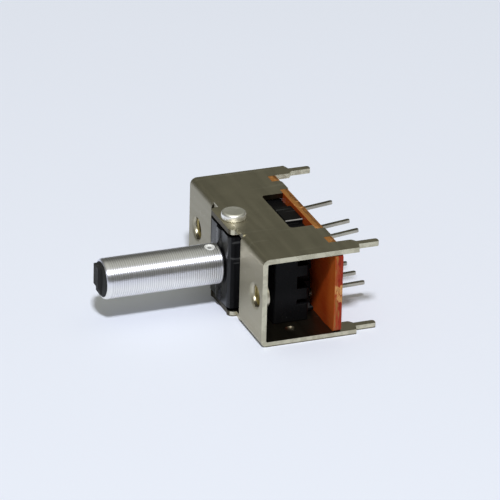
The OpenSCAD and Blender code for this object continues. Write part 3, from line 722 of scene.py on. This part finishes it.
def bracket_finishes(mesh):
    """Which finish each face of the bracket takes: 0 the plating, 1 the bright cut edges, or 2
    painted shade, a dark nickel on the inner faces, which also takes in the cut faces that lie in
    shade: the walls of the notches and the window, the detent dimples and the ears' fronts. The
    rounded mouths and collars of the screw holes stay plated."""
    centre, normal = face_table(mesh)
    x, y, z = np.abs(centre[:, 0]), centre[:, 1], centre[:, 2]
    height, (lean_x, lean_y, lean_z) = np.abs(z), np.abs(normal.T)
    at_flange = height > INNER_HEIGHT - 0.05 * MM
    at_notch = (x < BOARD_END - 0.5 * MM) & (y > NOTCH_FRONT) & (y < BOARD_FRONT)
    in_notch = at_notch & (height < HALF_HEIGHT - 0.1 * MM)
    by_hole = (np.hypot(x - HOLE_OFFSET, z) < COLLAR_RADIUS) & (y < COLLAR_REAR)
    flange_cut = at_flange & (lean_z < 0.4) & ((lean_x > 0.3) | (normal[:, 1] > 0.3) | (y < -0.01 * MM))
    plate_cut = ~at_flange & (lean_y < 0.4) & (x > HOLE_OFFSET)
    cut = (flange_cut | plate_cut) & ~by_hole & ~in_notch
    flange_inside = (height < INNER_HEIGHT + 0.01 * MM) & (normal[:, 2] * z < 0) & (lean_z > 0.7)
    plate_back = (normal[:, 1] > 0.7) & (y < PLATE_REAR)
    notch_wall = in_notch & (lean_z < 0.3)
    window_wall = (x < HOLE_OFFSET - COLLAR_RADIUS) & (y > 0.1 * MM) & (y < PLATE_REAR) & (height < INNER_HEIGHT)
    window_wall &= lean_x > 0.7
    dimple = at_notch & (normal[:, 2] > 0.5) & (z < -INNER_HEIGHT + 0.01 * MM)
    ear_front = (height > INNER_HEIGHT) & (y < -0.05 * MM) & (normal[:, 1] < -0.8)
    # These faces take painted shade, the dark inner nickel.
    inside = flange_inside | plate_back | notch_wall | window_wall | dimple | ear_front
    return np.where(inside, 2, cut.astype(int))


def bracket_sheet(look):
    """The folded bracket with softened edges, its cut edges in their own finish."""
    plated = nickel_plate(look, "nickel_plate", look.nickel_colour)
    # The dark nickel is painted shade on the inner faces and the shaded cut faces.
    inner_shade = nickel_plate(look, "shaded_nickel", look.inner_shade_colour, look.nickel_colour)
    piece = softened_copy("bracket", "bracket_sheet", look.edge_softness, [plated, sheared_edge(look), inner_shade])
    piece.data.polygons.foreach_set("material_index", bracket_finishes(piece.data))
    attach(piece, "frame")
    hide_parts("bracket")


def tapped_thread(look, side, metal):
    """A thin threaded liner in one screw hole. On its inner wall the radius at a place along the
    hole is the hole's radius less the thread depth times a triangle wave of the place over the
    pitch minus the share of the turn, which makes a helix. It fades to nothing at both ends."""
    rows, columns = 56, 96
    start, stop, fade_in, fade_out = 0.55 * MM, 1.655 * MM, 0.35 * MM, 0.12 * MM
    flare, wall, clearance = 0.15 * MM, 0.06 * MM, 0.004 * MM
    along = np.linspace(start, stop, rows)[:, None]
    turn = even_turns(columns)[None, :]
    phase = along / look.thread_pitch - side * turn / (2 * math.pi)
    wave = 1 - 2 * np.abs(phase % 1.0 - 0.5)
    crest = np.clip(1.35 * wave - 0.2, 0, 1)
    fade = np.clip((along - start) / fade_in, 0, 1) * np.clip((stop - along) / fade_out, 0, 1)
    mouth = flare * np.clip((start + flare - along) / flare, 0, 1) ** 2
    inner = HOLE_RADIUS - clearance + mouth - look.thread_depth * crest * fade
    outer = np.broadcast_to(HOLE_RADIUS + wall + mouth, inner.shape)
    radius = np.concatenate([inner, outer[::-1]])
    place = np.broadcast_to(np.concatenate([along, along[::-1]]), radius.shape)
    points = np.stack([side * HOLE_OFFSET + radius * np.sin(turn), place, radius * np.cos(turn)], axis=-1)
    piece = new_piece("tapped_thread_" + ("right" if side > 0 else "left"), points,
                      grid_faces(2 * rows, columns, rows_closed=True), metal)
    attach(piece, "frame")


def sleeve_turns(count, gather):
    """Angles round the sleeve that crowd together at angle 0, where the dimple is: the angle is a
    full turn times the share, less gather times the sine of that turn."""
    share = even_turns(count)
    return share - gather * np.sin(share)


def sleeve_profile(look):
    """Radius and place from the root along the sleeve's outline, from root to tip outside and back
    along the bore, and how many of them lie outside. The outer radius dips by the ring depth in a
    rounded groove once each ring pitch, and both ends are rounded off."""
    length = SLEEVE_ROOT - SLEEVE_TIP
    root_bevel, tip_bevel, tip_length, clearance = 0.15 * MM, 0.3 * MM, 0.6 * MM, 0.002 * MM
    steps, bends = 7, 7
    start, pitch, rings = ring_layout(look)
    bend = np.linspace(0, math.pi / 2, bends)
    along = np.concatenate([root_bevel * (1 - np.cos(bend)), [0.9 * start],
                            start + np.arange(rings * steps + 1) / steps * pitch,
                            length - tip_length * (1 - np.sin(bend))])
    ringed = (along > 0.95 * start) & (along < start + rings * pitch + 0.01 * MM)
    wave = np.abs(np.sin(math.pi * (along - start) / pitch))
    outer = SLEEVE_RADIUS - look.ring_depth * (1 - wave ** 0.8) * ringed
    outer[:bends] -= root_bevel * (1 - np.sin(bend))
    outer[-bends:] -= tip_bevel * (1 - np.cos(bend))
    radii = np.concatenate([outer, np.full(3, STEM_RADIUS + clearance)])
    return radii, np.concatenate([along, [length, length * 0.5, 0.0]]), len(outer)


def ringed_sleeve(look):
    """The turned sleeve: its outline carried round Y. Round the dimple the radius drops by the
    dimple depth times one minus the squared share of the way out to its rim, with a low raised lip
    just outside it."""
    radii, places, outside = sleeve_profile(look)
    turn = sleeve_turns(144, 0.72)
    lip_height, lip_place, lip_width = 0.05 * MM, 1.1, 0.13
    angle = np.where(turn > math.pi, turn - 2 * math.pi, turn)[None, :]
    away = np.hypot(SLEEVE_RADIUS * angle, places[:, None] - look.dimple_place) / look.dimple_radius
    dip = look.dimple_depth * np.clip(1 - away ** 2, 0, 1)
    lip = lip_height * np.exp(-((away - lip_place) / lip_width) ** 2)
    is_outside = (np.arange(len(radii)) < outside)[:, None]
    radius = radii[:, None] - np.where(is_outside, dip - lip, 0.0)
    facing = turn[None, :] + look.dimple_turn
    points = np.stack([radius * np.sin(facing), np.broadcast_to(SLEEVE_ROOT - places[:, None], radius.shape),
                       radius * np.cos(facing)], axis=-1)
    piece = new_piece("ringed_sleeve", points, grid_faces(len(radii), len(turn), rows_closed=True),
                      turned_aluminium(look), sharp_angle=50)
    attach(piece, "lever")
    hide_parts("lever_sleeve")


def rivet_profile(look):
    """Radius and height along the rivet's outline, from the middle of the head down to the tail.
    The head's edge is a quarter circle, and the head and the tail are a little hollow."""
    points = node_points("pivot_rivet")
    low = points[:, 2].min()
    radial = np.hypot(points[:, 0] - PIVOT[0], points[:, 1] - PIVOT[1])
    head, tail = radial.max(), radial[points[:, 2] < low + 0.05 * MM].max()
    edge, under, rim = 0.42 * MM, 0.12 * MM, 0.06 * MM
    quarter = np.linspace(0, math.pi / 2, 12)
    flat = head - edge
    face = np.array([0.0, 0.35, 0.7, 0.88, 0.96]) * flat
    radii = [face, flat + edge * np.sin(quarter),
             [head, head - 0.25 * under, head - under, RIVET_SHANK, RIVET_SHANK],
             [tail - 0.02 * MM, tail, tail - 0.4 * rim, tail - rim, 0.75 * MM, 0.62 * MM, 0.3 * MM, 0.0]]
    heights = [RIVET_TOP - look.dish_depth * np.clip(1 - (face / flat) ** 6, 0, 1),
               RIVET_TOP - edge + edge * np.cos(quarter),
               [HALF_HEIGHT + under * 1.2, HALF_HEIGHT + 0.3 * under, HALF_HEIGHT, HALF_HEIGHT - 0.01 * MM,
                low + 0.45 * MM],
               [low + 0.05 * MM, low + 0.03 * MM, low + 0.005 * MM, low, low, low + 0.05 * MM,
                low + 0.16 * MM, low + 0.2 * MM]]
    return np.concatenate(radii), np.concatenate(heights)


def pivot_rivet(look):
    """The pivot rivet as one outline carried round the pivot."""
    sides = 96
    radii, heights = rivet_profile(look)
    points = revolved(radii, heights, sides) + np.array([PIVOT[0], PIVOT[1], 0.0])
    piece = new_piece("headed_rivet", points, grid_faces(len(radii), sides), rivet_metal(look), sharp_angle=55)
    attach(piece, "frame")
    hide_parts("pivot_rivet")


def guide_bar(side, plastic):
    """A bar along the slider's rear edge, which fills the gap up to the board over the contact
    heads. It is a rounded rectangle carried along X: a superellipse with the exponent 6, whose
    size is drawn in at each end by a quarter circle."""
    points = node_points("slider")
    body = points[np.abs(points[:, 0]) > 3.0 * MM]
    rear = body[:, 1].max()
    back = np.abs(body[body[:, 1] > rear - 0.01 * MM])
    reach, top = back[:, 0].max() - 0.05 * MM, back[:, 2].max() - 0.005 * MM
    front, board_side = rear - 0.15 * MM, points[:, 1].max() - 0.03 * MM
    low, edge, closed = top - 0.44 * MM, 0.08 * MM, 1.0
    turn = even_turns(40)
    bend = np.linspace(0, math.pi / 2, 5)
    rise = edge * (1 - np.cos(bend))
    pull = edge * (1 - np.sin(bend))
    along = np.concatenate([[-reach], rise - reach, reach - rise[::-1], [reach]])
    inset = np.concatenate([[closed], pull, pull[::-1], [closed]])[:, None]
    wide = np.sign(np.sin(turn)) * np.abs(np.sin(turn)) ** (1 / 3)
    tall = np.sign(np.cos(turn)) * np.abs(np.cos(turn)) ** (1 / 3)
    y = (front + board_side) / 2 + wide * np.clip((board_side - front) / 2 - inset, 0, None)
    z = side * ((top + low) / 2 + tall * np.clip((top - low) / 2 - inset, 0, None))
    grid = np.stack([np.broadcast_to(along[:, None], y.shape), y, z], axis=-1)
    piece = new_piece("slider_guide_" + ("upper" if side > 0 else "lower"), grid,
                      grid_faces(len(along), len(turn)), plastic, sharp_angle=50)
    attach(piece, "slider")


def raised_block(points):
    """Raises the top of the lever's block and lowers its underside by 0.6 mm, and the pads that
    carry the bosses by 0.23 mm, because the block nearly fills the ears. All in millimetres."""
    block, pad, near = INNER_HEIGHT / MM - 1.1, INNER_HEIGHT / MM - 0.7, 0.02
    height = np.abs(points[:, 2])
    growth = np.select([np.abs(height - block) < near, np.abs(height - pad) < near], [0.6, 0.23], 0.0)
    points[:, 2] += np.copysign(growth, points[:, 2])
    return points


def moulding_finishes(mesh, node):
    """Which finish each face of a moulding takes: 0 plain, 1 matt on the stem's torn end, or 2
    glossy on the lever's front and on the slider's rounded edges along Y."""
    centre, normal = face_table(mesh)
    if node == "lever":
        glossy = (normal[:, 1] < -0.6) & (centre[:, 1] < 0)
    else:
        glossy = (np.abs(normal[:, 0]) > 0.35) & (np.abs(normal[:, 2]) > 0.35)
    return np.where(centre[:, 1] < SLEEVE_TIP - 0.02 * MM, 1, 2 * glossy)


def moulded_parts(look):
    """Lever and slider with rounded moulded edges, and the two bars on the slider."""
    plain = black_plastic(look, "black_plastic", look.plastic_roughness, look.slider_gloss)
    matt = black_plastic(look, "matt_plastic", look.matt_roughness, 0.6)
    glossy = black_plastic(look, "glossy_plastic", look.plastic_roughness, look.lever_gloss)
    for node, reshape in (("lever", raised_block), ("slider", None)):
        piece = softened_copy(node, "moulded_" + node, look.edge_softness, [plain, matt, glossy], edge_angle=38,
                              reshape=reshape)
        piece.data.polygons.foreach_set("material_index", moulding_finishes(piece.data, node))
        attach(piece, node)
        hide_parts(node)
    for side in (-1, 1):
        guide_bar(side, plain)


def smooth_random(rng, count, knots):
    """A smooth random line: random heights at equal knots, joined by cosine steps."""
    heights = rng.uniform(-1, 1, knots + 1)
    place = np.linspace(0, knots - 1e-6, count)
    left = place.astype(int)
    step = (1 - np.cos(math.pi * (place - left))) / 2
    return heights[left] * (1 - step) + heights[left + 1] * step


def board_end_faces(look, side, finish_of_edge):
    """A thin rough strip over one end of the board. Its outer face is set back by the chip depth
    times a product of two smooth random lines, one along each side, so it chips in patches."""
    rng = np.random.default_rng(11 if side > 0 else 12)
    rows, columns = 110, 16
    proud, sunk, depth = 0.035 * MM, 0.03 * MM, 0.25 * MM
    points = node_points("terminal_board")
    top = points[np.abs(points[:, 0]) > BOARD_END - 0.02 * MM][:, 2].max()
    up = np.linspace(0.05 * MM - top, top - 0.05 * MM, rows)
    across = np.linspace(BOARD_FRONT + 0.06 * MM, BOARD_REAR - 0.06 * MM, columns)
    rough = sum(smooth_random(rng, rows, knots)[:, None] * smooth_random(rng, columns, 3 + knots // 12)[None, :]
                * 6 / (6 + knots ** 0.5) for knots in (9, 23, 47))
    outer = side * (BOARD_END + proud - look.chip_depth * np.clip(rough, 0, 1))
    outer[:, [0, -1]] = outer[[0, -1], :] = side * (BOARD_END - sunk)
    up_grid, across_grid = np.meshgrid(up, across, indexing="ij")
    front = np.stack([outer, across_grid, up_grid], axis=-1)
    back = front.copy()
    back[..., 0] = side * (BOARD_END - depth)
    shell = np.concatenate([front.reshape(-1, 3), back.reshape(-1, 3)])
    quads = grid_faces(rows, columns, columns_closed=False)
    edge = np.concatenate([np.arange(columns), np.arange(1, rows) * columns + columns - 1,
                           (rows - 1) * columns + np.arange(columns - 2, -1, -1),
                           np.arange(rows - 2, 0, -1) * columns])
    after, offset = np.roll(edge, -1), rows * columns
    walls = np.stack([edge, after, after + offset, edge + offset], axis=-1)
    piece = new_piece("board_end_" + ("right" if side > 0 else "left"), shell,
                      np.concatenate([quads, quads[:, ::-1] + offset, walls]), finish_of_edge)
    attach(piece, "frame")


def laminate_board(look):
    """The terminal board with softened edges, laminate faces and torn edges."""
    face, edge = laminate_face(look), laminate_edge(look)
    piece = softened_copy("terminal_board", "laminate_board", look.edge_softness, [face, edge])
    lean_y = np.abs(face_table(piece.data)[1][:, 1])
    piece.data.polygons.foreach_set("material_index", (lean_y < 0.6).astype(int))
    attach(piece, "frame")
    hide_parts("terminal_board")
    for side in (-1, 1):
        board_end_faces(look, side, edge)


def tinned_terminals(look):
    """The seven terminals with softened edges."""
    tin = tinned_brass(look)
    for node in TERMINALS:
        piece = softened_copy(node, "tinned_" + node, look.edge_softness, [tin], segments=2)
        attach(piece, "frame")
        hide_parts(node)


def inside_parts(look):
    """Finishes on the contacts, balls and springs, whose CAD shapes stay."""
    for name, metal in (("contact", contact_bronze(look)), ("detent", detent_steel(look))):
        for node, thing in frame["nodes"].items():
            if name in node:
                thing.data.materials.clear()
                thing.data.materials.append(metal)


def studio_floor(look):
    """A round pale floor under the lower flange: rings of points out to its radius."""
    sides = 96
    radii = np.concatenate([[0.0], np.geomspace(0.02, look.floor_radius, 24)])
    points = revolved(radii, np.full(len(radii), -HALF_HEIGHT), sides)
    new_piece("studio_floor", points, grid_faces(len(radii), sides), floor_finish(look))


def main_lamp(look):
    """A square area lamp that faces the origin."""
    lamp = bpy.data.lights.new("main_lamp", "AREA")
    lamp.shape = "SQUARE"
    lamp.size = LAMP_SIZE
    lamp.energy = look.key_power
    lamp.color = LAMP_COLOUR
    back = np.array(LAMP_PLACE) / np.linalg.norm(LAMP_PLACE)
    side = np.cross((0.0, 0.0, 1.0), back)
    side /= np.linalg.norm(side)
    turn = Matrix(np.stack([side, np.cross(back, side), back], axis=1).tolist())
    linked("main_lamp", lamp).matrix_world = Matrix.Translation(LAMP_PLACE) @ turn.to_4x4()


def studio_world(look):
    """Dim walls that brighten evenly towards the ceiling."""
    world = bpy.data.worlds.new("studio_world")
    world.use_nodes = True
    tree = world.node_tree
    height = parts_of(tree, add_node(tree, "ShaderNodeTexCoord").outputs["Generated"])["Z"]
    tone = blended(tree, stepped(tree, height, 0.6, 1.0), tinted(look.wall_colour), tinted(look.ceiling_colour))
    tree.links.new(tone, tree.nodes["Background"].inputs["Color"])
    bpy.context.scene.world = world


def photo_camera(look):
    """The camera at the photograph's place and angle."""
    camera = bpy.data.cameras.new("photo_camera")
    camera.sensor_width = 36.0
    camera.lens = look.camera_lens
    camera.clip_start, camera.clip_end = 0.01, 20.0
    holder = linked("photo_camera", camera)
    holder.location = look.camera_place
    holder.rotation_euler = Euler(look.camera_turn, "XYZ")
    bpy.context.scene.camera = holder


# Operators


class SWITCH_OT_bracket(bpy.types.Operator):
    """Make the bracket and the threads in its two screw holes"""

    bl_idname = "slide_switch.bracket"
    bl_label = "Bracket"

    def execute(self, context):
        look = context.scene.switch_bracket
        bracket_sheet(look)
        brass = bare_brass(look)
        for side in (-1, 1):
            tapped_thread(look, side, brass)
        return {"FINISHED"}


class SWITCH_OT_sleeve(bpy.types.Operator):
    """Make the ringed sleeve of the lever"""

    bl_idname = "slide_switch.sleeve"
    bl_label = "Sleeve"

    def execute(self, context):
        ringed_sleeve(context.scene.switch_sleeve)
        return {"FINISHED"}


class SWITCH_OT_rivet(bpy.types.Operator):
    """Make the pivot rivet"""

    bl_idname = "slide_switch.rivet"
    bl_label = "Rivet"

    def execute(self, context):
        pivot_rivet(context.scene.switch_rivet)
        return {"FINISHED"}


class SWITCH_OT_mouldings(bpy.types.Operator):
    """Make the black lever and slider"""

    bl_idname = "slide_switch.mouldings"
    bl_label = "Mouldings"

    def execute(self, context):
        moulded_parts(context.scene.switch_moulding)
        return {"FINISHED"}


class SWITCH_OT_board(bpy.types.Operator):
    """Make the laminate terminal board"""

    bl_idname = "slide_switch.board"
    bl_label = "Terminal board"

    def execute(self, context):
        laminate_board(context.scene.switch_board)
        return {"FINISHED"}


class SWITCH_OT_terminals(bpy.types.Operator):
    """Make the tinned terminals"""

    bl_idname = "slide_switch.terminals"
    bl_label = "Terminals"

    def execute(self, context):
        tinned_terminals(context.scene.switch_terminals)
        return {"FINISHED"}


class SWITCH_OT_inside(bpy.types.Operator):
    """Give the contacts, balls and springs their finish"""

    bl_idname = "slide_switch.inside"
    bl_label = "Contacts and detent"

    def execute(self, context):
        inside_parts(context.scene.switch_inside)
        return {"FINISHED"}


class SWITCH_OT_stage(bpy.types.Operator):
    """Make the floor, the lamp, the surroundings and the camera"""

    bl_idname = "slide_switch.stage"
    bl_label = "Stage"

    def execute(self, context):
        look = context.scene.switch_stage
        context.scene.view_settings.view_transform = "Standard"
        photo_camera(look)
        studio_floor(look)
        studio_world(look)
        main_lamp(look)
        return {"FINISHED"}


class SWITCH_PT_panel(bpy.types.Panel):
    """Lists the pieces of the slide switch"""

    bl_idname = "SWITCH_PT_panel"
    bl_label = "Slide switch"
    bl_space_type = "VIEW_3D"
    bl_region_type = "UI"
    bl_category = "Slide switch"

    def draw(self, context):
        for operator in OPERATORS:
            self.layout.operator(operator.bl_idname)


GROUPS = {
    "switch_bracket": SWITCH_PG_bracket,
    "switch_sleeve": SWITCH_PG_sleeve,
    "switch_rivet": SWITCH_PG_rivet,
    "switch_moulding": SWITCH_PG_moulding,
    "switch_board": SWITCH_PG_board,
    "switch_terminals": SWITCH_PG_terminals,
    "switch_inside": SWITCH_PG_inside,
    "switch_stage": SWITCH_PG_stage,
}
OPERATORS = (SWITCH_OT_stage, SWITCH_OT_bracket, SWITCH_OT_board, SWITCH_OT_terminals, SWITCH_OT_mouldings,
             SWITCH_OT_sleeve, SWITCH_OT_rivet, SWITCH_OT_inside)
CLASSES = (*GROUPS.values(), *OPERATORS, SWITCH_PT_panel)


def register():
    """Registers the classes and hangs the property groups on the scene."""
    for each in CLASSES:
        bpy.utils.register_class(each)
    for name, group in GROUPS.items():
        setattr(bpy.types.Scene, name, PointerProperty(type=group))


def unregister():
    """Takes the property groups and the classes away again."""
    for name in GROUPS:
        delattr(bpy.types.Scene, name)
    for each in reversed(CLASSES):
        bpy.utils.unregister_class(each)


def run_operator(operator):
    """Runs one operator through bpy.ops, and stops the script if it doesn't finish."""
    family, name = operator.bl_idname.split(".")
    if getattr(getattr(bpy.ops, family), name)() != {"FINISHED"}:
        raise RuntimeError(operator.bl_idname + " did not finish")


def main():
    """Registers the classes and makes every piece."""
    register()
    for operator in OPERATORS:
        run_operator(operator)


if __name__ == "__main__":
    main()
